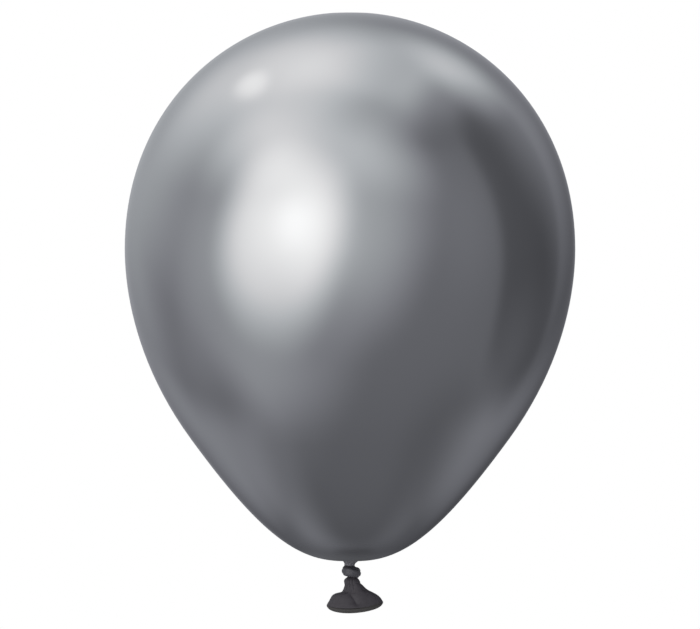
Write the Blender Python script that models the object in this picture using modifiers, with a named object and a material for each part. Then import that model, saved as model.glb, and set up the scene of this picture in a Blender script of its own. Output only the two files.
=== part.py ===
"""A tied party balloon with a mirror finish.

A thin inflated envelope closes into a gathered neck. Under it the neck is tied in a knot, and its free
end hangs below as a tail: a bunched throat, a flattened flare and a rolled lip.

Metres, +Z up, and the front faces -Y. The origin is the middle of the neck's waist, between the
envelope and the knot.
"""

import math

import bmesh
import bpy
import numpy as np
from mathutils import Matrix, Vector

TURN = 2 * math.pi
FITTED_GAP = 0.0003
WELD = 0.000001
SHARP_ANGLE = math.radians(50)

# Envelope: a turned profile of three curves that meet at the equator and on the flank
ENVELOPE_WIDTH = 0.280
EQUATOR_RADIUS = ENVELOPE_WIDTH / 2
EQUATOR_Z = 0.1958
CROWN_Z = 0.3429
CROWN_FULLNESS = 0.519
SHOULDER_FULLNESS = 0.613
FLANK_RADIUS = 0.0991
FLANK_Z = 0.0779
FLANK_LEAN = 0.63
EQUATOR_PULL = 0.0270
FLANK_PULL_UP = 0.0570
FLANK_PULL_DOWN = 0.0718
BASE_Z = 0.0018
BASE_PULL = 0.0283
MOUTH_RADIUS = 0.0050
CROWN_FLAT_RADIUS = 0.0125
FILM_WALL = 0.0003
ENVELOPE_SEGMENTS = 48
CROWN_RINGS = 15
EQUATOR_RINGS = 7
BASE_RINGS = 13

# Pleated section that the neck and the throat share
PLEATS = 9
PLEAT_DEPTH = 0.07
POINTS_PER_PLEAT = 4

# Gathered neck: its collar fills the envelope's mouth and its end dips into the knot
NECK_COLLAR_RADIUS = MOUTH_RADIUS - FITTED_GAP
NECK_TOP_Z = BASE_Z + 0.0010
NECK_END_Z = -0.0014
NECK_END_RADIUS = 0.0023
WAIST_RADIUS = 0.0031
NECK_TWIST = 0.9

# Knot: a slanted roll round a short core
KNOT_X = 0.00075
KNOT_Z = -0.0046
LOOP_WIDTH = 0.0121
LOOP_HEIGHT = 0.0062
LOOP_HOLE_RADIUS = 0.0023
LOOP_SLANT = math.radians(8)
LOOP_SWELL = 0.06
LOOP_POINTS = 28
LOOP_SECTION_POINTS = 14
CORE_RADIUS = LOOP_HOLE_RADIUS - FITTED_GAP
CORE_TOP_Z = NECK_END_Z - FITTED_GAP

# Pinch under the knot, where the tail bends
PINCH_X = 0.00124
PINCH_Z = -0.00845
PINCH_RADIUS = 0.0037

# Throat: the bunched roll at the top of the tail
THROAT_TOP_Z = PINCH_Z + 0.0004
THROAT_TOP_RADIUS = 0.0024
THROAT_BOTTOM_Z = -0.0124
THROAT_RADIUS = 0.0053
THROAT_TWIST = -0.7
CORE_BOTTOM_Z = THROAT_TOP_Z + FITTED_GAP

# Rolled lip: an oval ring whose front and back hang lower than its tips
LIP_X = 0.0031
LIP_HALF_WIDTH = 0.0160
LIP_HALF_DEPTH = 0.0062
LIP_BEAD_RADIUS = 0.0014
LIP_TIP_Z = -0.0246
LIP_SLANT = 0.0007
LIP_DROOP = 0.0038
LIP_POINTS = 36

# Flare: a thin funnel from the throat to the lip
FLARE_WALL = 0.0005
FLARE_TOP_Z = THROAT_BOTTOM_Z - FITTED_GAP
FLARE_SEGMENTS = 36
FLARE_RINGS = 12
FOLD_ANGLE = math.radians(-84)
FOLD_WIDTH = math.radians(20)
FOLD_DEPTH = 0.22
DROOP_POWER = 1.6


def clear_scene():
    for obj in list(bpy.data.objects):
        bpy.data.objects.remove(obj, do_unlink=True)


def new_collection(name):
    collection = bpy.data.collections.new(name)
    bpy.context.scene.collection.children.link(collection)
    return collection


def new_material(name, color, metallic, roughness):
    material = bpy.data.materials.new(name)
    material.use_nodes = True
    shader = material.node_tree.nodes["Principled BSDF"]
    shader.inputs["Base Color"].default_value = (*color, 1)
    shader.inputs["Metallic"].default_value = metallic
    shader.inputs["Roughness"].default_value = roughness
    return material


def new_object(name, data, collection, material=None, parent=None):
    """Adds an object whose data are in the balloon's frame. Under a parent its origin is the parent's."""
    obj = bpy.data.objects.new(name, data)
    if parent:
        data.transform(Matrix.Translation(-parent.matrix_world.translation))
        obj.parent = parent
    if material:
        data.materials.append(material)
    collection.objects.link(obj)
    return obj


def new_pivot(name, place, collection, parent=None):
    pivot = bpy.data.objects.new(name, None)
    pivot.empty_display_type = "ARROWS"
    pivot.empty_display_size = 0.01
    collection.objects.link(pivot)
    pivot.location = Vector(place)
    if parent:
        pivot.parent = parent
        pivot.location -= parent.matrix_world.translation
    bpy.context.view_layer.update()
    return pivot


def cubic(start, pull_start, pull_end, end, count):
    """Points along a cubic curve, without its first one."""
    a, b, c, d = (np.array(point) for point in (start, pull_start, pull_end, end))
    t = np.linspace(0, 1, count + 1)[1:, None]
    s = 1 - t
    return s**3 * a + 3 * s * s * t * b + 3 * s * t * t * c + t**3 * d


def smooth_through(keys, count):
    """Values at even steps along a smooth curve through the keys, which may hold any number of columns."""
    keys = np.array(keys)
    padded = np.vstack([2 * keys[0] - keys[1], keys, 2 * keys[-1] - keys[-2]])
    values = []
    for place in np.linspace(0, len(keys) - 1, count):
        piece = min(int(place), len(keys) - 2)
        t = place - piece
        before, start, end, after = padded[piece : piece + 4]
        values.append(
            start
            + 0.5 * t * (end - before)
            + t * t * (before - 2.5 * start + 2 * end - 0.5 * after)
            + t**3 * 0.5 * (after - before + 3 * (start - end))
        )
    return np.array(values)


def swept_mesh(name, curve, collection, material, parent=None):
    """Turns a swept curve into a mesh object with its caps welded and its faces pointing out."""
    path = new_object(name + "_path", curve, collection)
    graph = bpy.context.evaluated_depsgraph_get()
    mesh = bpy.data.meshes.new_from_object(path.evaluated_get(graph))
    bpy.data.objects.remove(path, do_unlink=True)
    mesh.name = name
    shape = bmesh.new()
    shape.from_mesh(mesh)
    bmesh.ops.remove_doubles(shape, verts=shape.verts, dist=WELD)
    bmesh.ops.recalc_face_normals(shape, faces=shape.faces)
    shape.to_mesh(mesh)
    shape.free()
    mesh.materials.clear()
    mesh.shade_smooth()
    mesh.set_sharp_from_angle(angle=SHARP_ANGLE)
    return new_object(name, mesh, collection, material, parent)


# Envelope


def envelope_profile():
    """Radius and height down the outside, from the middle of the crown to the mouth of the neck."""
    lean = np.array([math.sin(FLANK_LEAN), math.cos(FLANK_LEAN)])
    crown = np.array([0, CROWN_Z])
    equator = np.array([EQUATOR_RADIUS, EQUATOR_Z])
    flank = np.array([FLANK_RADIUS, FLANK_Z])
    mouth = np.array([MOUTH_RADIUS, BASE_Z])
    rise = CROWN_Z - EQUATOR_Z
    upper = cubic(
        crown,
        crown + [CROWN_FULLNESS * EQUATOR_RADIUS, 0],
        equator + [0, SHOULDER_FULLNESS * rise],
        equator,
        CROWN_RINGS,
    )
    middle = cubic(
        equator,
        equator - [0, EQUATOR_PULL],
        flank + FLANK_PULL_UP * lean,
        flank,
        EQUATOR_RINGS,
    )
    lower = cubic(
        flank,
        flank - FLANK_PULL_DOWN * lean,
        mouth + [BASE_PULL, 0],
        mouth,
        BASE_RINGS,
    )
    curved = np.vstack([upper, middle, lower])
    curved = curved[(curved[:, 0] > 1.2 * CROWN_FLAT_RADIUS) | (curved[:, 1] < EQUATOR_Z)]
    flat_z = crown_flat_z(upper)
    return np.vstack([[0, flat_z], [CROWN_FLAT_RADIUS, flat_z], curved])


def crown_flat_z(upper):
    """Height at which the crown's curve is CROWN_FLAT_RADIUS from the axis."""
    radii = np.insert(upper[:, 0], 0, 0)
    heights = np.insert(upper[:, 1], 0, CROWN_Z)
    inside = np.searchsorted(radii, CROWN_FLAT_RADIUS)
    share = (CROWN_FLAT_RADIUS / radii[inside]) ** 2
    return float(CROWN_Z + share * (heights[inside] - CROWN_Z))


def build_envelope(collection, material):
    profile = envelope_profile()
    mesh = bpy.data.meshes.new("envelope")
    vertices = [(radius, 0, height) for radius, height in profile]
    edges = [(i, i + 1) for i in range(len(vertices) - 1)]
    mesh.from_pydata(vertices, edges, [])
    obj = new_object("envelope", mesh, collection, material)
    turn = obj.modifiers.new("turn", "SCREW")
    turn.axis = "Z"
    turn.angle = TURN
    turn.steps = ENVELOPE_SEGMENTS
    turn.render_steps = ENVELOPE_SEGMENTS
    turn.use_merge_vertices = True
    turn.merge_threshold = 0.00001
    turn.use_smooth_shade = True
    film = obj.modifiers.new("film", "SOLIDIFY")
    film.thickness = FILM_WALL
    film.offset = -1
    return obj


# Strands: a pleated section swept down a path, with its own radius at each point


def build_pleated_section(collection):
    """The closed outline of unit radius that the strands are swept from."""
    curve = bpy.data.curves.new("pleated_section", "CURVE")
    spline = curve.splines.new("POLY")
    count = PLEATS * POINTS_PER_PLEAT
    spline.points.add(count - 1)
    for i, point in enumerate(spline.points):
        angle = TURN * i / count
        radius = 1 - PLEAT_DEPTH * (0.5 - 0.5 * math.cos(PLEATS * angle))
        point.co = (radius * math.cos(angle), radius * math.sin(angle), 0, 1)
    spline.use_cyclic_u = True
    obj = new_object("pleated_section", curve, collection)
    obj.hide_render = True
    obj.display_type = "WIRE"
    return obj


def build_strand(name, keys, rings, twist, section, collection, material, parent=None):
    """A pleated strand through the keys, each an x, a z and a radius, turned by twist on its way down.

    It is swept straight down the axis and then moved sideways level by level, so its ends stay level.
    """
    places = smooth_through(keys, rings)
    curve = bpy.data.curves.new(name, "CURVE")
    curve.dimensions = "3D"
    curve.twist_mode = "MINIMUM"
    curve.bevel_mode = "OBJECT"
    curve.bevel_object = section
    curve.use_fill_caps = True
    spline = curve.splines.new("POLY")
    spline.points.add(rings - 1)
    for i, (_, z, radius) in enumerate(places):
        point = spline.points[i]
        point.co = (0, 0, z, 1)
        point.radius = radius
        point.tilt = twist * i / (rings - 1)
    obj = swept_mesh(name, curve, collection, material)
    upward = places[::-1]
    for vertex in obj.data.vertices:
        vertex.co.x += np.interp(vertex.co.z, upward[:, 1], upward[:, 0])
    if parent:
        obj.data.transform(Matrix.Translation(-parent.matrix_world.translation))
        obj.parent = parent
    return obj


def build_neck_gather(section, collection, material):
    keys = [
        (0, NECK_TOP_Z, NECK_COLLAR_RADIUS),
        (0, BASE_Z - 0.0001, NECK_COLLAR_RADIUS),
        (0.0001, BASE_Z - 0.0009, 0.82 * NECK_COLLAR_RADIUS),
        (-0.0001, 0.0001, 1.06 * WAIST_RADIUS),
        (-0.0001, -0.0007, WAIST_RADIUS),
        (0.0001, NECK_END_Z, NECK_END_RADIUS),
    ]
    return build_strand("neck_gather", keys, 14, NECK_TWIST, section, collection, material)


# Knot


def build_loop_section(collection):
    """The tall oval that the knot's roll is swept from."""
    half_width = (LOOP_WIDTH / 2 - LOOP_HOLE_RADIUS) / 2
    half_height = LOOP_HEIGHT / 2
    curve = bpy.data.curves.new("loop_section", "CURVE")
    spline = curve.splines.new("POLY")
    spline.points.add(LOOP_SECTION_POINTS - 1)
    for i, point in enumerate(spline.points):
        angle = TURN * i / LOOP_SECTION_POINTS
        point.co = (half_width * math.cos(angle), half_height * math.sin(angle), 0, 1)
    spline.use_cyclic_u = True
    obj = new_object("loop_section", curve, collection)
    obj.hide_render = True
    obj.display_type = "WIRE"
    return obj


def build_knot_loop(section, collection, material, parent):
    """The roll of film round the core: fuller at its low, right side and slanted down to it."""
    curve = bpy.data.curves.new("knot_loop", "CURVE")
    curve.dimensions = "3D"
    curve.twist_mode = "Z_UP"
    curve.bevel_mode = "OBJECT"
    curve.bevel_object = section
    spline = curve.splines.new("POLY")
    spline.points.add(LOOP_POINTS - 1)
    middle_radius = (LOOP_WIDTH / 2 + LOOP_HOLE_RADIUS) / 2
    for i, point in enumerate(spline.points):
        angle = TURN * i / LOOP_POINTS
        swell = LOOP_SWELL * math.cos(angle)
        radius = middle_radius * (1 + 0.5 * swell)
        x = KNOT_X + radius * math.cos(angle)
        z = KNOT_Z - math.tan(LOOP_SLANT) * radius * math.cos(angle)
        point.co = (x, radius * math.sin(angle), z, 1)
        point.radius = 1 + 0.5 * swell - 0.5 * LOOP_SWELL
    spline.use_cyclic_u = True
    return swept_mesh("knot_loop", curve, collection, material, parent)


def build_knot_core(section, collection, material, parent):
    """The strand that the roll is tied round, from the neck to the pinch."""
    keys = [
        (KNOT_X, CORE_TOP_Z, CORE_RADIUS),
        (KNOT_X, KNOT_Z, CORE_RADIUS),
        (KNOT_X, CORE_BOTTOM_Z, CORE_RADIUS),
    ]
    return build_strand("knot_core", keys, 5, 0, section, collection, material, parent)


# Tail


def build_tail_throat(section, collection, material, parent):
    keys = [
        (KNOT_X, THROAT_TOP_Z, THROAT_TOP_RADIUS),
        (PINCH_X, PINCH_Z - 0.0002, PINCH_RADIUS),
        (PINCH_X, -0.0094, 0.92 * THROAT_RADIUS),
        (PINCH_X - 0.0001, -0.0105, THROAT_RADIUS),
        (PINCH_X, -0.0115, 0.98 * THROAT_RADIUS),
        (PINCH_X + 0.0003, THROAT_BOTTOM_Z, 0.93 * THROAT_RADIUS),
    ]
    return build_strand("tail_throat", keys, 12, THROAT_TWIST, section, collection, material, parent)


def lip_point(angle):
    """A point on the middle line of the rolled lip."""
    droop = LIP_DROOP * abs(math.sin(angle)) ** DROOP_POWER
    return Vector(
        (
            LIP_X + LIP_HALF_WIDTH * math.cos(angle),
            LIP_HALF_DEPTH * math.sin(angle),
            LIP_TIP_Z + LIP_SLANT * math.cos(angle) - droop,
        )
    )


def flare_sections():
    """Centre x, height, half width, half depth and droop of the flare's rings, from the throat to the lip."""
    lip_gap = LIP_BEAD_RADIUS + FITTED_GAP
    keys = [
        (PINCH_X + 0.0003, FLARE_TOP_Z, 0.0051, 0.0046, 0),
        (0.0026, -0.0148, 0.0068, 0.0043, 0),
        (0.0036, -0.0166, 0.0090, 0.0046, 0.0002),
        (0.0024, -0.0183, 0.0133, 0.0051, 0.0010),
        (0.0032, -0.0206, 0.0157, 0.0057, 0.0024),
        (LIP_X, LIP_TIP_Z + lip_gap, LIP_HALF_WIDTH, LIP_HALF_DEPTH, LIP_DROOP),
    ]
    return smooth_through(keys, FLARE_RINGS)


def build_tail_flare(collection, material, parent):
    """The funnel is lofted, because its round throat and its oval, drooping mouth are unlike sections."""
    vertices = []
    for ring, (centre, height, half_width, half_depth, droop) in enumerate(flare_sections()):
        down = ring / (FLARE_RINGS - 1)
        for i in range(FLARE_SEGMENTS):
            angle = TURN * i / FLARE_SEGMENTS
            off_fold = math.remainder(angle - FOLD_ANGLE, TURN) / FOLD_WIDTH
            fold = FOLD_DEPTH * math.sin(math.pi * down) * math.exp(-off_fold * off_fold)
            x = centre + half_width * math.cos(angle)
            y = half_depth * math.sin(angle) * (1 - fold)
            slant = LIP_SLANT * down * math.cos(angle)
            z = height + slant - droop * abs(math.sin(angle)) ** DROOP_POWER
            vertices.append((x, y, z))
    faces = []
    for ring in range(FLARE_RINGS - 1):
        for i in range(FLARE_SEGMENTS):
            upper = ring * FLARE_SEGMENTS
            lower = upper + FLARE_SEGMENTS
            after = (i + 1) % FLARE_SEGMENTS
            faces.append((upper + i, lower + i, lower + after, upper + after))
    mesh = bpy.data.meshes.new("tail_flare")
    mesh.from_pydata(vertices, [], faces)
    mesh.shade_smooth()
    obj = new_object("tail_flare", mesh, collection, material, parent)
    film = obj.modifiers.new("film", "SOLIDIFY")
    film.thickness = FLARE_WALL
    film.offset = -1
    return obj


def build_lip_bead(collection, material, parent):
    curve = bpy.data.curves.new("lip_bead", "CURVE")
    curve.dimensions = "3D"
    curve.bevel_depth = LIP_BEAD_RADIUS
    curve.bevel_resolution = 2
    spline = curve.splines.new("POLY")
    spline.points.add(LIP_POINTS - 1)
    for i, point in enumerate(spline.points):
        point.co = (*lip_point(TURN * i / LIP_POINTS), 1)
    spline.use_cyclic_u = True
    return swept_mesh("lip_bead", curve, collection, material, parent)


def main():
    clear_scene()
    balloon = new_collection("mirror_balloon")
    guides = new_collection("sweep_sections")
    mirror_film = new_material("mirror_film", (0.36, 0.37, 0.39), 1.0, 0.2)
    neck_film = new_material("neck_film", (0.10, 0.10, 0.11), 0.6, 0.4)
    knot_film = new_material("knot_film", (0.07, 0.07, 0.08), 0.3, 0.45)
    tail_film = new_material("tail_film", (0.055, 0.052, 0.056), 0.1, 0.5)
    lip_film = new_material("lip_film", (0.06, 0.06, 0.06), 0.1, 0.5)

    build_envelope(balloon, mirror_film)
    pleated = build_pleated_section(guides)
    build_neck_gather(pleated, balloon, neck_film)

    neck_pivot = new_pivot("neck_pivot", (0, 0, 0), balloon)
    build_knot_core(pleated, balloon, knot_film, neck_pivot)
    build_knot_loop(build_loop_section(guides), balloon, knot_film, neck_pivot)

    tail_pivot = new_pivot("tail_pivot", (PINCH_X, 0, PINCH_Z), balloon, neck_pivot)
    build_tail_throat(pleated, balloon, tail_film, tail_pivot)
    build_tail_flare(balloon, tail_film, tail_pivot)
    build_lip_bead(balloon, lip_film, tail_pivot)


main()
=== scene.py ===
"""Looks of a tied party balloon with a dark mirror finish: its film, neck, knot and tail, and the studio.

Metres, +Z up, and the front faces -Y. The origin is the middle of the neck's waist.
"""

import math

import bpy
import numpy as np
from mathutils import Matrix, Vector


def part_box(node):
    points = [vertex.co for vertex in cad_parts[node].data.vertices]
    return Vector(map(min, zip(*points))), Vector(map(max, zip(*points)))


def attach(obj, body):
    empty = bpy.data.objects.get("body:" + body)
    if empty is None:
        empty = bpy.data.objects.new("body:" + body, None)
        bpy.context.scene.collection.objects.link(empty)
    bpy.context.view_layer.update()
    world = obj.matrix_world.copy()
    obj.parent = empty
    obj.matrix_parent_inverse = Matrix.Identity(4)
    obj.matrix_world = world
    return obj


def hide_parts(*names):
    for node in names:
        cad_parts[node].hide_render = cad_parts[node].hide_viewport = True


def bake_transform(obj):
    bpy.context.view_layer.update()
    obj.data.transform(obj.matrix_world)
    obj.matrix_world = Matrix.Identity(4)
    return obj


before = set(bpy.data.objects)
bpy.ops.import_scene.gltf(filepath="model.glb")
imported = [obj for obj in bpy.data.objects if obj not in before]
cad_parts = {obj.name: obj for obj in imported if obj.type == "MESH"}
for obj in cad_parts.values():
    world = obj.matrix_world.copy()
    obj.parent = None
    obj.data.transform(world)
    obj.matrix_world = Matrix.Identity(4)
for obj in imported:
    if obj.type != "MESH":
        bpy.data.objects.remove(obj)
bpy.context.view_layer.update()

TURN = 2 * math.pi

# Photograph: its frame, the row of the neck's waist, and the envelope's width in columns
PHOTO_WIDTH = 700
PHOTO_HEIGHT = 629
WAIST_ROW = 564
ENVELOPE_COLUMNS = 450.6

# Camera, as far away as the photograph's flat perspective needs
CAMERA_DISTANCE = 4.0
SENSOR_WIDTH = 36.0

# Envelope: its extremes from the frame's box, the curves of its profile, and its film
ENVELOPE_LOW, ENVELOPE_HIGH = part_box("envelope")
EQUATOR_RADIUS = ENVELOPE_HIGH[0]
BASE_Z = ENVELOPE_LOW[2]
CROWN_Z = 0.3429
CROWN_FLAT_Z = ENVELOPE_HIGH[2]
CROWN_FLAT_EDGE = 0.00012
EQUATOR_Z = 0.1958
CROWN_FULLNESS = 0.519
SHOULDER_FULLNESS = 0.613
FLANK_RADIUS = 0.0991
FLANK_Z = 0.0779
FLANK_LEAN = 0.63
EQUATOR_PULL = 0.0270
FLANK_PULL_UP = 0.0570
FLANK_PULL_DOWN = 0.0718
BASE_PULL = 0.0283
MOUTH_RADIUS = 0.0050
FILM_WALL = 0.0003
FILM_SEGMENTS = 240
CROWN_RINGS = 48
EQUATOR_RINGS = 20
BASE_RINGS = 64

# Pleats where the film is gathered into the neck, coarse ones and fine ones between them
NECK_PLEATS = 9
FINE_PLEATS = 31
NECK_PLEAT_DEPTH = 0.00026
FINE_PLEAT_DEPTH = 0.00012
FINE_PLEAT_TURN = 0.3
NECK_PLEAT_UNEVENNESS = 0.10
PLEAT_REACH = 0.0085
STEM_EXTRA_GATHER = 0.5
NECK_TWIST = 0.9
NECK_RINGS = 40

# Knot: a leaning roll of lobes wound round the neck, and the strand inside it
KNOT_X = 0.0007
KNOT_Z = -0.0048
KNOT_RADIUS = 0.0032
KNOT_HALF_WIDTH = 0.0028
KNOT_HALF_HEIGHT = 0.0034
KNOT_SLANT = 0.0005
KNOT_LEAN = math.radians(-14)
KNOT_EVEN_LEAN = 0.4
KNOT_LOBES = 5
KNOT_LOBE_SHIFTS = 3
KNOT_LOBE_DEPTH = 0.15
KNOT_LOBE_UNEVENNESS = 0.12
KNOT_RIGHT_FULLNESS = 0.04
KNOT_RINGS = 160
KNOT_SEGMENTS = 72
STRAND_RADIUS = 0.0020
STRAND_RINGS = 16

# Tail: the pinch under the knot, then left x and z, right x and z, and half depth where throat meets flare
TAIL_SEGMENTS = 240
THROAT_RINGS = 36
FLARE_RINGS = 90
PINCH_Z = -0.00845
PINCH_X = 0.00124
THROAT_END = (-0.0034, -0.0132, 0.0079, -0.0132, 0.0045)
FLARE_WALL = 0.0004

# Pleats, folds and waves of the tail, as shares of its depth, and the angles that they lie at
TAIL_PLEATS = 13
TAIL_PLEAT_UNEVENNESS = 0.16
TAIL_PLEAT_TURN = 0.8
TAIL_PLEAT_DEPTH = 0.02
GATHERED_PLEAT_DEPTH = 0.08
FRONT_FOLD_HEIGHTS = (-0.0235, -0.0202, -0.0174, -0.0110)
FRONT_FOLD_ANGLES = (-85, -94, -110, -104)
FRONT_FOLD_DEPTH = 0.21
FRONT_FOLD_WIDTH = 0.16
BACK_FOLD_ANGLE = math.radians(97)
BACK_FOLD_DEPTH = 0.20
BACK_FOLD_WIDTH = 0.24
SHALLOW_FOLD = 0.35
FLARE_WAVE = 0.05

# Where these and the mouth's shape come and go, as parts of the way down from the pinch to the lip
GATHERS_FADE = (0.25, 0.70)
PLEATS_FADE = (0.70, 1.0)
FOLDS_START = (0.20, 0.40)
FOLDS_DEEPEN = (0.45, 0.60)
FOLDS_FADE = (0.78, 0.95)
WAVES_START = (0.45, 0.80)
MOUTH_START = (0.40, 1.0)
DROOP_START = (0.52, 1.0)

# Shares by which the hidden rings are drawn in where the throat and the flare overlap
SEAM_SHARES = (0.01, 0.04, 0.10)

# Lip: a roll round an oval mouth whose two tips stand higher than its front and back
LIP_X = 0.0030
LIP_HALF_WIDTH = 0.0163
LIP_HALF_DEPTH = 0.0062
LIP_TIP_Z = -0.0248
LIP_SLANT = 0.0010
LIP_DROOP = 0.0036
LIP_TIP_ROUNDING = 0.20
LIP_FULLNESS = 0.82
MOUTH_ROUNDNESS = 0.25
LIP_HALF_THICKNESS = 0.0013
LIP_TIP_HALF_HEIGHT = 0.0013
LIP_EXTRA_HALF_HEIGHT = 0.0006
LIP_JOIN_UP = 0.55
LIP_JOIN_OUT = 0.80
LIP_UNEVENNESS = 0.04
LIP_GROOVE_DEPTH = 0.22
LIP_GROOVE_ANGLE = 0.62
LIP_GROOVE_WIDTH = 0.22
LIP_RINGS = 240
LIP_SEGMENTS = 32

# Mirror film: colours, waves a metre of its clouds and grain, and the grain's height
MIRROR_DARK = (0.370, 0.373, 0.380)
MIRROR_LIGHT = (0.390, 0.393, 0.400)
MIRROR_EDGE_TINT = (0.64, 0.64, 0.65)
MIRROR_ROUGHNESS = (0.150, 0.175)
MIRROR_CLOUDS = 9.0
MIRROR_GRAIN = 1400.0
MIRROR_GRAIN_STRENGTH = 0.05
MIRROR_GRAIN_HEIGHT = 0.00002

# Where the mirror darkens just above the neck: two heights, then how much of its colour is left at each
NECK_SHADE_COLOR = (0.05, 0.05, 0.055)
NECK_SHADE = (0.0012, 0.0045, 0.80, 1.0)

# Where it is duller: two heights, or for the crown's thick spot two radii, then the roughness added at each
SATIN_NEAR_NECK = (0.0020, 0.0200, 0.26, 0.0)
MATT_NEAR_NECK = (0.0015, 0.0120, 0.35, 0.0)
THICK_SPOT = (0.0020, 0.0100, 0.16, 0.0)

# Rubber: darkest colour, lightest colour, roughness, share of metal and strength of highlight
RUBBER = {
    "neck": ((0.114, 0.110, 0.122), (0.155, 0.150, 0.165), 0.42, 0.4, 0.5),
    "knot": ((0.045, 0.043, 0.050), (0.061, 0.058, 0.067), 0.45, 0.2, 0.5),
    "tail": ((0.032, 0.029, 0.035), (0.042, 0.037, 0.043), 0.58, 0.0, 0.3),
    "lip": ((0.029, 0.027, 0.027), (0.039, 0.036, 0.035), 0.52, 0.0, 0.3),
}
RUBBER_CLOUDS = 260.0
RUBBER_ROUGHNESS_SPREAD = 0.06
RUBBER_WRINKLES = 900.0
RUBBER_WRINKLE_STRENGTH = 0.35
RUBBER_WRINKLE_HEIGHT = 0.0002

# Values that most of a noise lies between
NOISE_LOW = 0.3
NOISE_HIGH = 0.7

# Floor
FLOOR_Z = -0.40
FLOOR_RADIUS = 4.8
FLOOR_SIDES = 96
FLOOR_COLOR = (0.86, 0.86, 0.86)
FLOOR_ROUGHNESS = 0.9
FLOOR_GLOW = 0.35


# Curves and meshes


def cubic(start, pull_start, pull_end, end, count):
    """Points along a cubic curve, without its first one."""
    a, b, c, d = (np.array(point, float) for point in (start, pull_start, pull_end, end))
    t = np.linspace(0, 1, count + 1)[1:, None]
    s = 1 - t
    return s**3 * a + 3 * s * s * t * b + 3 * s * t * t * c + t**3 * d


def smooth_through(keys, count):
    """Values at even steps along a smooth curve through the keys, which may hold any number of columns."""
    keys = np.array(keys, float)
    padded = np.vstack([2 * keys[0] - keys[1], keys, 2 * keys[-1] - keys[-2]])
    values = []
    for place in np.linspace(0, len(keys) - 1, count):
        piece = min(int(place), len(keys) - 2)
        t = place - piece
        before, start, end, after = padded[piece : piece + 4]
        values.append(
            start
            + 0.5 * t * (end - before)
            + t * t * (before - 2.5 * start + 2 * end - 0.5 * after)
            + t**3 * 0.5 * (after - before + 3 * (start - end))
        )
    return np.array(values)


def smoothstep(value, low, high):
    """From 0 at the low value to 1 at the high one, without corners."""
    t = np.clip((value - low) / (high - low), 0, 1)
    return t * t * (3 - 2 * t)


def creases(angle, count, sharpness=1.6):
    """From 0 on the rounded lobes between pleats to 1 in the sharp creases."""
    return (1 - np.abs(np.sin(0.5 * count * angle))) ** sharpness


def uneven(angle, amount, phase=0.0):
    """Shifts angles round a section, so that its pleats aren't evenly spaced."""
    return angle + amount * (np.sin(2 * angle + phase) + 0.6 * np.sin(3 * angle + 1.7 * phase + 0.8))


def grid_mesh(name, points, start_cap=False, end_cap=False, closed=False):
    """A mesh object from rings of points, from the top down or, for a closed loop, all the way round."""
    rings, segments, _ = points.shape
    vertices = points.reshape(-1, 3).tolist()
    faces = []
    for ring in range(rings if closed else rings - 1):
        upper = ring * segments
        lower = (ring + 1) % rings * segments
        for i in range(segments):
            after = (i + 1) % segments
            faces.append((upper + i, lower + i, lower + after, upper + after))
    if start_cap:
        faces += [(len(vertices), i, (i + 1) % segments) for i in range(segments)]
        vertices.append(points[0].mean(axis=0).tolist())
    if end_cap:
        last = (rings - 1) * segments
        faces += [(len(vertices), last + (i + 1) % segments, last + i) for i in range(segments)]
        vertices.append(points[-1].mean(axis=0).tolist())
    mesh = bpy.data.meshes.new(name)
    mesh.from_pydata(vertices, [], faces)
    mesh.shade_smooth()
    obj = bpy.data.objects.new(name, mesh)
    bpy.context.scene.collection.objects.link(obj)
    return obj


def dress(piece, material, slot, *nodes):
    """Gives a piece its finish, and lets it stand for its CAD nodes."""
    piece.data.materials.append(material)
    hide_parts(*nodes)


# Envelope and neck, which share one profile and one set of pleats


def envelope_profile():
    """Radius and height down the outside, from the middle of the crown to the mouth of the neck."""
    lean = np.array([math.sin(FLANK_LEAN), math.cos(FLANK_LEAN)])
    crown = np.array([0, CROWN_Z])
    equator = np.array([EQUATOR_RADIUS, EQUATOR_Z])
    flank = np.array([FLANK_RADIUS, FLANK_Z])
    mouth = np.array([MOUTH_RADIUS, BASE_Z])
    rise = CROWN_Z - EQUATOR_Z
    upper = cubic(
        crown,
        crown + [CROWN_FULLNESS * EQUATOR_RADIUS, 0],
        equator + [0, SHOULDER_FULLNESS * rise],
        equator,
        CROWN_RINGS,
    )
    middle = cubic(
        equator,
        equator - [0, EQUATOR_PULL],
        flank + FLANK_PULL_UP * lean,
        flank,
        EQUATOR_RINGS,
    )
    lower = cubic(
        flank,
        flank - FLANK_PULL_DOWN * lean,
        mouth + [BASE_PULL, 0],
        mouth,
        BASE_RINGS,
    )
    profile = np.vstack([upper, middle, lower])
    over = (profile[:, 1] - CROWN_FLAT_Z) / CROWN_FLAT_EDGE
    profile[:, 1] -= CROWN_FLAT_EDGE * np.logaddexp(0, over)
    return profile


def neck_profile():
    """Centre x, height and radius down the neck, from the envelope's mouth into the knot."""
    keys = [
        (0.0000, BASE_Z + 0.0005, MOUTH_RADIUS + 0.0003),
        (0.0001, BASE_Z, MOUTH_RADIUS),
        (0.0003, 0.0014, 0.0045),
        (0.0001, 0.0009, 0.0040),
        (-0.0001, 0.0003, 0.0035),
        (-0.0002, -0.0003, 0.0033),
        (-0.0003, -0.0009, 0.0033),
        (0.0002, -0.0016, 0.0030),
        (0.0004, -0.0024, 0.0022),
    ]
    return smooth_through(keys, NECK_RINGS)


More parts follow.
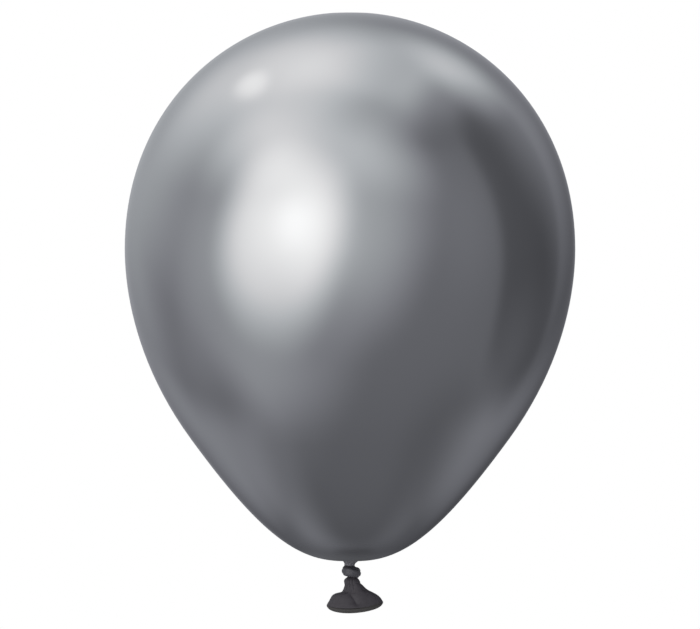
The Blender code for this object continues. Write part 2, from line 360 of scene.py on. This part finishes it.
def gathered_rings(centres, radii, heights, gather, twist, segments):
    """Rings of a turned profile, pressed in along its normals where the film is pleated."""
    angle = TURN * np.arange(segments) / segments
    run = np.gradient(radii)
    fall = np.gradient(heights)
    length = np.hypot(run, fall)
    out_radial = -fall / length
    out_up = run / length
    rings = []
    for i in range(len(radii)):
        turned = uneven(angle + twist[i], NECK_PLEAT_UNEVENNESS)
        depth = gather[i] * (
            NECK_PLEAT_DEPTH * creases(turned, NECK_PLEATS)
            + FINE_PLEAT_DEPTH * creases(turned + FINE_PLEAT_TURN, FINE_PLEATS)
        )
        radius = radii[i] - depth * out_radial[i]
        rings.append(
            np.stack(
                [
                    centres[i] + radius * np.cos(angle),
                    radius * np.sin(angle),
                    heights[i] - depth * out_up[i],
                ],
                axis=-1,
            )
        )
    return np.array(rings)


def build_envelope_film(material):
    """The inflated film, hollow, with pleats that run out of the neck and fade up its flank."""
    radii, heights = envelope_profile().T
    gather = np.where(heights < FLANK_Z, np.exp(-(radii - MOUTH_RADIUS) / PLEAT_REACH), 0)
    count = len(radii)
    rings = gathered_rings(np.zeros(count), radii, heights, gather, np.zeros(count), FILM_SEGMENTS)
    film = grid_mesh("envelope_film", rings, start_cap=True)
    wall = film.modifiers.new("wall", "SOLIDIFY")
    wall.thickness = FILM_WALL
    wall.offset = -1
    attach(film, "envelope")
    dress(film, material, "mirror_film", "envelope")


def build_neck_stem(material):
    """The twisted, pleated stem, which starts just inside the envelope and ends inside the knot."""
    centres, heights, radii = neck_profile().T
    down = (heights[0] - heights) / (heights[0] - heights[-1])
    gather = 1 + STEM_EXTRA_GATHER * np.sin(math.pi * down)
    rings = gathered_rings(centres, radii, heights, gather, NECK_TWIST * down, FILM_SEGMENTS)
    stem = grid_mesh("neck_stem", rings, start_cap=True, end_cap=True)
    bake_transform(stem)
    dress(stem, material, "neck_film", "neck_gather")


# Knot


def build_knot_wrap(material):
    """The film wound round the neck: a slanted roll of twisted lobes, fuller at its low right side."""
    around = TURN * np.arange(KNOT_RINGS) / KNOT_RINGS
    section = TURN * np.arange(KNOT_SEGMENTS) / KNOT_SEGMENTS
    rings = []
    for angle in around:
        shift = KNOT_LOBE_SHIFTS * angle / KNOT_LOBES
        lobes = creases(uneven(section + shift, KNOT_LOBE_UNEVENNESS, angle), KNOT_LOBES)
        radius = 1 + KNOT_RIGHT_FULLNESS * math.cos(angle) - KNOT_LOBE_DEPTH * lobes
        wide = KNOT_HALF_WIDTH * radius * np.cos(section)
        high = KNOT_HALF_HEIGHT * radius * np.sin(section)
        lean = KNOT_LEAN * (KNOT_EVEN_LEAN + (1 - KNOT_EVEN_LEAN) * math.cos(angle))
        out = KNOT_RADIUS + wide * math.cos(lean) + high * math.sin(lean)
        x = KNOT_X + out * math.cos(angle)
        y = out * math.sin(angle)
        z = KNOT_Z - KNOT_SLANT * math.cos(angle) - wide * math.sin(lean) + high * math.cos(lean)
        rings.append(np.stack([x, y, z], axis=-1))
    wrap = grid_mesh("knot_wrap", np.array(rings), closed=True)
    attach(wrap, "knot")
    dress(wrap, material, "knot_film", "knot_loop")


def build_knot_strand(material):
    """The strand of film inside the wrap, down to the pinch under it."""
    keys = [
        (0.0004, -0.0018, STRAND_RADIUS),
        (KNOT_X, KNOT_Z, STRAND_RADIUS),
        (PINCH_X, PINCH_Z + 0.0002, STRAND_RADIUS),
    ]
    centres, heights, radii = smooth_through(keys, STRAND_RINGS).T
    count = len(radii)
    rings = gathered_rings(centres, radii, heights, np.ones(count), np.zeros(count), TAIL_SEGMENTS)
    strand = grid_mesh("knot_strand", rings, start_cap=True, end_cap=True)
    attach(strand, "knot")
    dress(strand, material, "knot_film", "knot_core")


# Tail


def lip_droop(angle):
    """From 0 at the two tips of the flattened lip to 1 at the middle of its front and back."""
    rounded = np.sqrt(np.sin(angle) ** 2 + LIP_TIP_ROUNDING**2)
    share = (rounded - LIP_TIP_ROUNDING) / (math.sqrt(1 + LIP_TIP_ROUNDING**2) - LIP_TIP_ROUNDING)
    return np.maximum(share, 0) ** LIP_FULLNESS


def mouth_depth(angle, share=1.0):
    """The sine of the angle, made fuller near the two tips by the share of the mouth's roundness."""
    return np.sign(np.sin(angle)) * np.abs(np.sin(angle)) ** (1 - MOUTH_ROUNDNESS * share)


def throat_sections():
    """Left x and z, right x and z, and half depth of the bunched film, from the pinch down."""
    keys = [
        (-0.0014, -0.0079, 0.0036, -0.0079, 0.0025),
        (-0.0023, -0.0086, 0.0045, -0.0086, 0.0033),
        (-0.0034, -0.0096, 0.0055, -0.0096, 0.0042),
        (-0.0038, -0.0108, 0.0062, -0.0108, 0.0047),
        (-0.0036, -0.0122, 0.0066, -0.0121, 0.0047),
        THROAT_END,
    ]
    return smooth_through(keys, THROAT_RINGS)


def flare_sections():
    """The same for the flare, from the throat to where the film turns into the rolled lip."""
    bead_out = LIP_JOIN_OUT * LIP_HALF_THICKNESS
    bead_up = LIP_JOIN_UP * LIP_TIP_HALF_HEIGHT
    keys = [
        THROAT_END,
        (-0.0038, -0.0147, 0.0095, -0.0148, 0.0044),
        (-0.0044, -0.0162, 0.0113, -0.0162, 0.0045),
        (-0.0054, -0.0174, 0.0137, -0.0174, 0.0048),
        (-0.0089, -0.0183, 0.0158, -0.0185, 0.0052),
        (-0.0110, -0.0195, 0.0176, -0.0197, 0.0057),
        (-0.0122, -0.0212, 0.0192, -0.0212, 0.0063),
        (-0.0132, -0.0232, 0.0200, -0.0225, 0.0069),
        (
            LIP_X - LIP_HALF_WIDTH - bead_out,
            LIP_TIP_Z - LIP_SLANT + bead_up,
            LIP_X + LIP_HALF_WIDTH + bead_out,
            LIP_TIP_Z + LIP_SLANT + bead_up,
            LIP_HALF_DEPTH + bead_out,
        ),
    ]
    return smooth_through(keys, FLARE_RINGS)


def front_fold_angle(height):
    """Where the front fold runs, by height: down the left of the middle, then across to the right."""
    return math.radians(np.interp(height, FRONT_FOLD_HEIGHTS, FRONT_FOLD_ANGLES))


def fold(angle, place, width):
    """From 1 in a fold to 0 away from it, by the angle round the section."""
    away = np.remainder(angle - place + math.pi, TURN) - math.pi
    return np.exp(-np.abs(away) / width)


def tail_rings():
    """The throat's and the flare's rings on one continuous, pleated surface."""
    sections = np.vstack([throat_sections(), flare_sections()[1:]])
    angle = TURN * np.arange(TAIL_SEGMENTS) / TAIL_SEGMENTS
    across = np.cos(angle)
    front_drop = LIP_DROOP - LIP_JOIN_UP * LIP_EXTRA_HALF_HEIGHT
    rings = []
    for left_x, left_z, right_x, right_z, half_depth in sections:
        height = 0.5 * (left_z + right_z)
        down = (PINCH_Z - height) / (PINCH_Z - LIP_TIP_Z)
        turned = uneven(angle - TAIL_PLEAT_TURN * (1 - down), TAIL_PLEAT_UNEVENNESS, 0.5)
        gathered = GATHERED_PLEAT_DEPTH * (1 - smoothstep(down, *GATHERS_FADE))
        pleat = (TAIL_PLEAT_DEPTH + gathered) * (1 - smoothstep(down, *PLEATS_FADE))
        pleat = pleat * creases(turned, TAIL_PLEATS)
        share = smoothstep(down, *FOLDS_START) * (1 - smoothstep(down, *FOLDS_FADE))
        share = share * (SHALLOW_FOLD + (1 - SHALLOW_FOLD) * smoothstep(down, *FOLDS_DEEPEN))
        folds = FRONT_FOLD_DEPTH * share * fold(angle, front_fold_angle(height), FRONT_FOLD_WIDTH)
        folds = folds + BACK_FOLD_DEPTH * share * fold(angle, BACK_FOLD_ANGLE, BACK_FOLD_WIDTH)
        wave = FLARE_WAVE * smoothstep(down, *WAVES_START) * np.sin(3 * angle + 0.7) * np.abs(np.sin(angle))
        x = 0.5 * (left_x + right_x) + 0.5 * (right_x - left_x) * across * (1 - pleat)
        depth = half_depth * mouth_depth(angle, smoothstep(down, *MOUTH_START))
        y = depth * (1 - pleat) * (1 - folds) * (1 + wave)
        z = height + 0.5 * (right_z - left_z) * across
        z = z - front_drop * smoothstep(down, *DROOP_START) * lip_droop(angle)
        rings.append(np.stack([x, y, z], axis=-1))
    return np.array(rings)


def drawn_in(rings, shares):
    """Rings pulled towards their middles, each by its share."""
    middles = rings.mean(axis=1, keepdims=True)
    return middles + (rings - middles) * (1 - np.array(shares)[:, None, None])


def build_tail_throat(rings, material):
    """The bunched film under the knot, which runs on a little inside the flare."""
    hidden = drawn_in(rings[THROAT_RINGS : THROAT_RINGS + len(SEAM_SHARES)], SEAM_SHARES)
    outside = np.concatenate([rings[:THROAT_RINGS], hidden])
    throat = grid_mesh("throat_bunch", outside, start_cap=True, end_cap=True)
    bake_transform(throat)
    dress(throat, material, "tail_film", "tail_throat")


def build_tail_flare(rings, material):
    """The open, folded film, which starts a little inside the throat and ends in the lip's roll."""
    first = THROAT_RINGS - 1
    hidden = drawn_in(rings[first - len(SEAM_SHARES) : first], SEAM_SHARES[::-1])
    flare = grid_mesh("flare_film", np.concatenate([hidden, rings[first:]]))
    wall = flare.modifiers.new("wall", "SOLIDIFY")
    wall.thickness = FLARE_WALL
    wall.offset = -1
    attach(flare, "tail")
    dress(flare, material, "tail_film", "tail_flare")


def build_lip_roll(material):
    """The rolled rim of the mouth, with the groove where the film enters the roll."""
    around = TURN * np.arange(LIP_RINGS) / LIP_RINGS
    section = TURN * np.arange(LIP_SEGMENTS) / LIP_SEGMENTS
    x = LIP_X + LIP_HALF_WIDTH * np.cos(around)
    y = LIP_HALF_DEPTH * mouth_depth(around)
    z = LIP_TIP_Z + LIP_SLANT * np.cos(around) - LIP_DROOP * lip_droop(around)
    middle = np.stack([x, y, z], axis=-1)
    along = np.roll(middle, -1, axis=0) - np.roll(middle, 1, axis=0)
    along /= np.linalg.norm(along, axis=1, keepdims=True)
    up = np.array([0.0, 0.0, 1.0]) - along * along[:, 2:3]
    up /= np.linalg.norm(up, axis=1, keepdims=True)
    out = np.cross(along, up)
    groove = LIP_GROOVE_DEPTH * np.exp(-(((section - LIP_GROOVE_ANGLE) / LIP_GROOVE_WIDTH) ** 2))
    rings = []
    for i, angle in enumerate(around):
        share = 1 + LIP_UNEVENNESS * math.sin(3 * angle + 1) - groove
        half_height = LIP_TIP_HALF_HEIGHT + LIP_EXTRA_HALF_HEIGHT * lip_droop(angle)
        wide = LIP_HALF_THICKNESS * share * np.cos(section)
        high = half_height * share * np.sin(section)
        rings.append(middle[i] + np.outer(wide, out[i]) + np.outer(high, up[i]))
    roll = grid_mesh("lip_roll", np.array(rings), closed=True)
    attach(roll, "tail")
    dress(roll, material, "lip_film", "lip_bead")


# Materials


def new_material(name):
    """A node material, its tree and its shader."""
    material = bpy.data.materials.new(name)
    material.use_nodes = True
    return material, material.node_tree, material.node_tree.nodes["Principled BSDF"]


def add_node(tree, kind, inputs=None, **settings):
    """A node with the values of its input sockets and its own settings."""
    node = tree.nodes.new(kind)
    for key, value in settings.items():
        setattr(node, key, value)
    for key, value in (inputs or {}).items():
        node.inputs[key].default_value = value
    return node


def add_noise(tree, scale, detail, roughness=0.5):
    """Noise fixed to the piece, with the scale in waves a metre."""
    place = add_node(tree, "ShaderNodeTexCoord")
    noise = add_node(tree, "ShaderNodeTexNoise", {"Scale": scale, "Detail": detail, "Roughness": roughness})
    tree.links.new(place.outputs["Object"], noise.inputs["Vector"])
    return noise


def add_range(tree, value, low, high, to_low, to_high):
    """Runs smoothly from one result at the low value to the other at the high value."""
    node = add_node(
        tree,
        "ShaderNodeMapRange",
        {"From Min": low, "From Max": high, "To Min": to_low, "To Max": to_high},
        interpolation_type="SMOOTHSTEP",
    )
    tree.links.new(value, node.inputs["Value"])
    return node.outputs["Result"]


def add_ramp(tree, value, low_color, high_color):
    """Runs from the low colour at 0 to the high colour at 1."""
    ramp = add_node(tree, "ShaderNodeValToRGB")
    ramp.color_ramp.elements[0].color = (*low_color, 1)
    ramp.color_ramp.elements[1].color = (*high_color, 1)
    tree.links.new(value, ramp.inputs["Fac"])
    return ramp.outputs["Color"]


def mirror_material():
    """Stretched film: a soft mirror, duller near the neck and on the crown's thick spot."""
    material, tree, shader = new_material("mirror_film_finish")
    shader.inputs["Metallic"].default_value = 1.0
    shader.inputs["Specular Tint"].default_value = (*MIRROR_EDGE_TINT, 1)
    cloud = add_noise(tree, MIRROR_CLOUDS, 2.0)
    place = add_node(tree, "ShaderNodeTexCoord")
    split = add_node(tree, "ShaderNodeSeparateXYZ")
    tree.links.new(place.outputs["Object"], split.inputs["Vector"])
    color = add_ramp(tree, cloud.outputs["Fac"], MIRROR_DARK, MIRROR_LIGHT)
    near_neck = add_range(tree, split.outputs["Z"], *NECK_SHADE)
    mix = add_node(tree, "ShaderNodeMix", data_type="RGBA")
    mix.inputs["A"].default_value = (*NECK_SHADE_COLOR, 1)
    tree.links.new(near_neck, mix.inputs["Factor"])
    tree.links.new(color, mix.inputs["B"])
    tree.links.new(mix.outputs["Result"], shader.inputs["Base Color"])
    satin = add_range(tree, split.outputs["Z"], *SATIN_NEAR_NECK)
    matt_end = add_range(tree, split.outputs["Z"], *MATT_NEAR_NECK)
    from_axis = add_node(tree, "ShaderNodeVectorMath", {1: (1, 1, 0)}, operation="MULTIPLY")
    tree.links.new(place.outputs["Object"], from_axis.inputs[0])
    radius = add_node(tree, "ShaderNodeVectorMath", operation="LENGTH")
    tree.links.new(from_axis.outputs["Vector"], radius.inputs[0])
    thick_spot = add_range(tree, radius.outputs["Value"], *THICK_SPOT)
    rough = add_range(tree, cloud.outputs["Fac"], NOISE_LOW, NOISE_HIGH, *MIRROR_ROUGHNESS)
    for extra in (satin, matt_end, thick_spot):
        total = add_node(tree, "ShaderNodeMath", operation="ADD")
        tree.links.new(rough, total.inputs[0])
        tree.links.new(extra, total.inputs[1])
        rough = total.outputs["Value"]
    tree.links.new(rough, shader.inputs["Roughness"])
    grain = add_noise(tree, MIRROR_GRAIN, 1.0)
    relief = {"Strength": MIRROR_GRAIN_STRENGTH, "Distance": MIRROR_GRAIN_HEIGHT}
    bump = add_node(tree, "ShaderNodeBump", relief)
    tree.links.new(grain.outputs["Fac"], bump.inputs["Height"])
    tree.links.new(bump.outputs["Normal"], shader.inputs["Normal"])
    return material


def rubber_material(part):
    """Unstretched film: satin rubber with faint cloudy colour and fine wrinkles."""
    dark, light, roughness, metallic, highlight = RUBBER[part]
    smoothest = roughness - RUBBER_ROUGHNESS_SPREAD
    roughest = roughness + RUBBER_ROUGHNESS_SPREAD
    material, tree, shader = new_material(f"{part}_film_finish")
    shader.inputs["Metallic"].default_value = metallic
    shader.inputs["Specular IOR Level"].default_value = highlight
    cloud = add_noise(tree, RUBBER_CLOUDS, 3.0)
    tree.links.new(add_ramp(tree, cloud.outputs["Fac"], dark, light), shader.inputs["Base Color"])
    rough = add_range(tree, cloud.outputs["Fac"], NOISE_LOW, NOISE_HIGH, smoothest, roughest)
    tree.links.new(rough, shader.inputs["Roughness"])
    wrinkle = add_noise(tree, RUBBER_WRINKLES, 4.0, 0.6)
    relief = {"Strength": RUBBER_WRINKLE_STRENGTH, "Distance": RUBBER_WRINKLE_HEIGHT}
    bump = add_node(tree, "ShaderNodeBump", relief)
    tree.links.new(wrinkle.outputs["Fac"], bump.inputs["Height"])
    tree.links.new(bump.outputs["Normal"], shader.inputs["Normal"])
    return material


# Studio: soft lights and flags round the balloon, by their direction from it

ROOM_RADIANCE = 0.20
TINTS = [
    (0.15, (0.970, 0.985, 1.075)),
    (0.50, (0.970, 0.985, 1.070)),
    (0.85, (0.950, 0.990, 1.025)),
    (1.20, (0.955, 0.990, 1.015)),
    (1.60, (1.000, 1.000, 1.005)),
    (2.10, (1.005, 1.000, 0.990)),
]

# Azimuth from the camera to the right and elevation, half width and half height, and roll, all in degrees;
# then edge softness, corner power, and the radiance added or, for a flag, the share held back
STUDIO = [
    ("room", 10, 20, 110, 95, 0, 0.80, 2, 0.13),
    ("key", -37, 5, 29, 35, -16, 0.40, 2.5, 0.93),
    ("key_core", -30, 9, 22, 22, 0, 1.00, 2, 0.86),
    ("key_peak", -29, 11, 8, 8, 0, 1.00, 2, 0.24),
    ("key_glow", -20, 49, 37, 15, 0, 1.00, 2, 0.78),
    ("key_spill", -76, -3, 32, 36, 0, 1.00, 2, 0.41),
    ("front_spill", 4, 8, 27, 33, -14, 0.80, 2, 0.55),
    ("ceiling", 134, 78, 32, 30, 0, 0.60, 2, 0.76),
    ("ceiling_left", -106, 60, 38, 27, 8, 0.80, 2, 1.00),
    ("left_wall", -148, 19, 33, 29, 0, 0.80, 2, 0.80),
    ("top_flag", 88, 52, 21, 11, 0, 0.60, 2, -0.38),
    ("right_flag", 108, 8, 25, 40, 6, 0.16, 4, -0.42),
    ("back_flag", 180, -20, 28, 18, 0, 0.80, 2, -0.28),
    ("spot", -116, 54, 9, 5, 22, 0.60, 2, 0.60),
    ("ceiling_back", 138, 46, 17, 11, -20, 0.80, 2, 0.54),
    ("back_right", 147, 30, 25, 20, 0, 1.00, 2, 0.36),
    ("low_front", -48, -46, 28, 15, 0, 1.00, 2, 0.27),
    ("low_left_flag", -94, -50, 10, 16, 0, 1.00, 2, -0.28),
    ("low_left_back", -134, -34, 25, 7, -42, 0.90, 2, 0.32),
    ("low_left_high", -129, -21, 17, 10, -30, 1.00, 2, 0.16),
    ("low_left_end", -125, -60, 23, 11, 0, 1.00, 2, 0.20),
    ("low_right_back", 137, -30, 25, 7, 42, 0.90, 2, 0.22),
    ("low_right_end", 124, -56, 14, 9, 0, 1.00, 2, 0.08),
    ("low_right", 112, -26, 16, 12, 0, 1.00, 2, 0.08),
    ("low_right_flag", 98, -54, 16, 12, 0, 1.00, 2, -0.16),
    ("right_fill", 60, 10, 16, 20, 0, 1.00, 2, 0.06),
    ("glow_right", 16, 56, 14, 8, 0, 1.00, 2, 0.10),
    ("right_rim", 138, 0, 12, 18, 0, 1.00, 2, 0.08),
    ("low_left_rim", -158, -31, 14, 12, 0, 1.00, 2, 0.10),
    ("low_right_rim", 160, -30, 12, 10, 0, 1.00, 2, 0.04),
    ("low_back", 180, -56, 30, 12, 0, 1.00, 2, 0.04),
    ("spot_glow", -94, 57, 16, 9, 0, 1.00, 2, 0.12),
]


def light_rotation(azimuth, elevation, roll):
    """Turns a light's own axes, x across it, -y from it and z up it, to its place round the balloon."""
    turn, rise, tilt = (math.radians(value) for value in (azimuth, elevation, roll))
    towards = np.array([math.sin(turn) * math.cos(rise), -math.cos(turn) * math.cos(rise), math.sin(rise)])
    right = np.array([math.cos(turn), math.sin(turn), 0])
    up = np.array([-math.sin(turn) * math.sin(rise), math.cos(turn) * math.sin(rise), math.cos(rise)])
    across = right * math.cos(tilt) + up * math.sin(tilt)
    upright = up * math.cos(tilt) - right * math.sin(tilt)
    return Matrix(np.array([across, -towards, upright]).T.tolist()).to_euler("XYZ")


def soft_shape_group():
    """A node group that gives 1 inside a soft-edged patch of the surroundings and 0 outside."""
    group = bpy.data.node_groups.new("soft_shape", "ShaderNodeTree")
    for name, kind in (
        ("Direction", "NodeSocketVector"),
        ("Rotation", "NodeSocketVector"),
        ("Half Width", "NodeSocketFloat"),
        ("Half Height", "NodeSocketFloat"),
        ("Inner", "NodeSocketFloat"),
        ("Outer", "NodeSocketFloat"),
        ("Power", "NodeSocketFloat"),
    ):
        group.interface.new_socket(name, in_out="INPUT", socket_type=kind)
    group.interface.new_socket("Share", in_out="OUTPUT", socket_type="NodeSocketFloat")
    given = add_node(group, "NodeGroupInput")
    result = add_node(group, "NodeGroupOutput")
    turn = add_node(group, "ShaderNodeVectorRotate", rotation_type="EULER_XYZ", invert=True)
    group.links.new(given.outputs["Direction"], turn.inputs["Vector"])
    group.links.new(given.outputs["Rotation"], turn.inputs["Rotation"])
    split = add_node(group, "ShaderNodeSeparateXYZ")
    group.links.new(turn.outputs["Vector"], split.inputs["Vector"])

    def maths(operation, first, second):
        node = add_node(group, "ShaderNodeMath", operation=operation)
        for socket, value in zip(node.inputs, (first, second)):
            if isinstance(value, (int, float)):
                socket.default_value = value
            else:
                group.links.new(value, socket)
        return node.outputs["Value"]

    # Offsets become tangents of half the angle from the patch's middle, and stay finite straight behind it
    nearness = maths("SUBTRACT", 1.0001, split.outputs["Y"])
    reach = []
    for axis, size in (("X", "Half Width"), ("Z", "Half Height")):
        offset = maths("ABSOLUTE", split.outputs[axis], 0)
        scaled = maths("DIVIDE", maths("DIVIDE", offset, nearness), given.outputs[size])
        reach.append(maths("POWER", scaled, given.outputs["Power"]))
    distance = maths("POWER", maths("ADD", *reach), maths("DIVIDE", 1, given.outputs["Power"]))
    ends = {"To Min": 1.0, "To Max": 0.0}
    fade = add_node(group, "ShaderNodeMapRange", ends, interpolation_type="SMOOTHSTEP")
    group.links.new(distance, fade.inputs["Value"])
    group.links.new(given.outputs["Inner"], fade.inputs["From Min"])
    group.links.new(given.outputs["Outer"], fade.inputs["From Max"])
    group.links.new(fade.outputs["Result"], result.inputs["Share"])
    return group


def tint_by_level(tree, level):
    """The slight tint of the surroundings, which changes with their brightness."""
    dimmest = TINTS[0][0]
    brightest = TINTS[-1][0]
    share = add_node(tree, "ShaderNodeMapRange", {"From Min": dimmest, "From Max": brightest})
    tree.links.new(level, share.inputs["Value"])
    ramp = add_node(tree, "ShaderNodeValToRGB")
    stops = ramp.color_ramp.elements
    while len(stops) < len(TINTS):
        stops.new(1.0)
    for stop, (radiance, tint) in zip(stops, TINTS):
        stop.position = (radiance - dimmest) / (brightest - dimmest)
        stop.color = (*tint, 1)
    tree.links.new(share.outputs["Result"], ramp.inputs["Fac"])
    return ramp.outputs["Color"]


def build_studio():
    """The surroundings that light the balloon and show in its mirror, on a plain white background."""
    world = bpy.data.worlds.new("studio")
    bpy.context.scene.world = world
    world.use_nodes = True
    tree = world.node_tree
    tree.nodes.clear()
    shape = soft_shape_group()
    direction = add_node(tree, "ShaderNodeTexCoord").outputs["Generated"]
    radiance = add_node(tree, "ShaderNodeValue")
    radiance.outputs[0].default_value = ROOM_RADIANCE
    level = radiance.outputs[0]
    for name, azimuth, elevation, half_width, half_height, roll, softness, power, strength in STUDIO:
        patch = add_node(tree, "ShaderNodeGroup", label=name)
        patch.node_tree = shape
        patch.inputs["Rotation"].default_value = light_rotation(azimuth, elevation, roll)
        patch.inputs["Half Width"].default_value = math.tan(math.radians(half_width) / 2)
        patch.inputs["Half Height"].default_value = math.tan(math.radians(half_height) / 2)
        patch.inputs["Inner"].default_value = 1 - softness
        patch.inputs["Outer"].default_value = 1 + softness
        patch.inputs["Power"].default_value = power
        tree.links.new(direction, patch.inputs["Direction"])
        if strength > 0:
            change = add_node(tree, "ShaderNodeMath", operation="MULTIPLY_ADD")
            change.inputs[1].default_value = strength
            tree.links.new(patch.outputs["Share"], change.inputs[0])
            tree.links.new(level, change.inputs[2])
        else:
            left = add_node(tree, "ShaderNodeMath", operation="MULTIPLY_ADD")
            left.inputs[1].default_value = strength
            left.inputs[2].default_value = 1.0
            tree.links.new(patch.outputs["Share"], left.inputs[0])
            change = add_node(tree, "ShaderNodeMath", operation="MULTIPLY")
            tree.links.new(level, change.inputs[0])
            tree.links.new(left.outputs["Value"], change.inputs[1])
        level = change.outputs["Value"]
    light = add_node(tree, "ShaderNodeBackground")
    tree.links.new(tint_by_level(tree, level), light.inputs["Color"])
    tree.links.new(level, light.inputs["Strength"])
    white = add_node(tree, "ShaderNodeBackground", {"Color": (1, 1, 1, 1), "Strength": 1.0})
    seen = add_node(tree, "ShaderNodeLightPath")
    choice = add_node(tree, "ShaderNodeMixShader")
    tree.links.new(seen.outputs["Is Camera Ray"], choice.inputs["Fac"])
    tree.links.new(light.outputs["Background"], choice.inputs[1])
    tree.links.new(white.outputs["Background"], choice.inputs[2])
    output = add_node(tree, "ShaderNodeOutputWorld")
    tree.links.new(choice.outputs["Shader"], output.inputs["Surface"])


def build_floor():
    """A plain pale floor, low under the floating balloon, kept out of its mirror and clear from below."""
    angle = TURN * np.arange(FLOOR_SIDES) / FLOOR_SIDES
    mesh = bpy.data.meshes.new("floor")
    rim = [(FLOOR_RADIUS * math.cos(a), FLOOR_RADIUS * math.sin(a), FLOOR_Z) for a in angle]
    mesh.from_pydata(rim, [], [tuple(range(FLOOR_SIDES))])
    floor = bpy.data.objects.new("floor", mesh)
    bpy.context.scene.collection.objects.link(floor)
    floor.visible_glossy = False
    material, tree, shader = new_material("pale_floor")
    shader.inputs["Base Color"].default_value = (*FLOOR_COLOR, 1)
    shader.inputs["Roughness"].default_value = FLOOR_ROUGHNESS
    shader.inputs["Emission Color"].default_value = (1, 1, 1, 1)
    shader.inputs["Emission Strength"].default_value = FLOOR_GLOW
    side = add_node(tree, "ShaderNodeNewGeometry")
    clear = add_node(tree, "ShaderNodeBsdfTransparent")
    choice = add_node(tree, "ShaderNodeMixShader")
    tree.links.new(side.outputs["Backfacing"], choice.inputs["Fac"])
    tree.links.new(shader.outputs["BSDF"], choice.inputs[1])
    tree.links.new(clear.outputs["BSDF"], choice.inputs[2])
    tree.links.new(choice.outputs["Shader"], tree.nodes["Material Output"].inputs["Surface"])
    mesh.materials.append(material)


def build_camera():
    """Level with the middle of the photograph, far enough away for its flat perspective."""
    scale = 2 * EQUATOR_RADIUS / ENVELOPE_COLUMNS
    growth = 1 / math.sqrt(1 - (EQUATOR_RADIUS / CAMERA_DISTANCE) ** 2)
    data = bpy.data.cameras.new("camera")
    data.sensor_width = SENSOR_WIDTH
    data.lens = SENSOR_WIDTH * CAMERA_DISTANCE / (scale * PHOTO_WIDTH * growth)
    camera = bpy.data.objects.new("camera", data)
    bpy.context.scene.collection.objects.link(camera)
    height = (WAIST_ROW - PHOTO_HEIGHT / 2) * scale
    camera.location = (0, -CAMERA_DISTANCE, height)
    camera.rotation_euler = (math.pi / 2, 0, 0)
    bpy.context.scene.camera = camera


build_camera()
build_studio()
build_floor()
mirror = mirror_material()
neck = rubber_material("neck")
knot = rubber_material("knot")
tail = rubber_material("tail")
lip = rubber_material("lip")
build_envelope_film(mirror)
build_neck_stem(neck)
build_knot_wrap(knot)
build_knot_strand(knot)
tail_surface = tail_rings()
build_tail_throat(tail_surface, tail)
build_tail_flare(tail_surface, tail)
build_lip_roll(lip)

bpy.context.scene.view_settings.view_transform = "Standard"
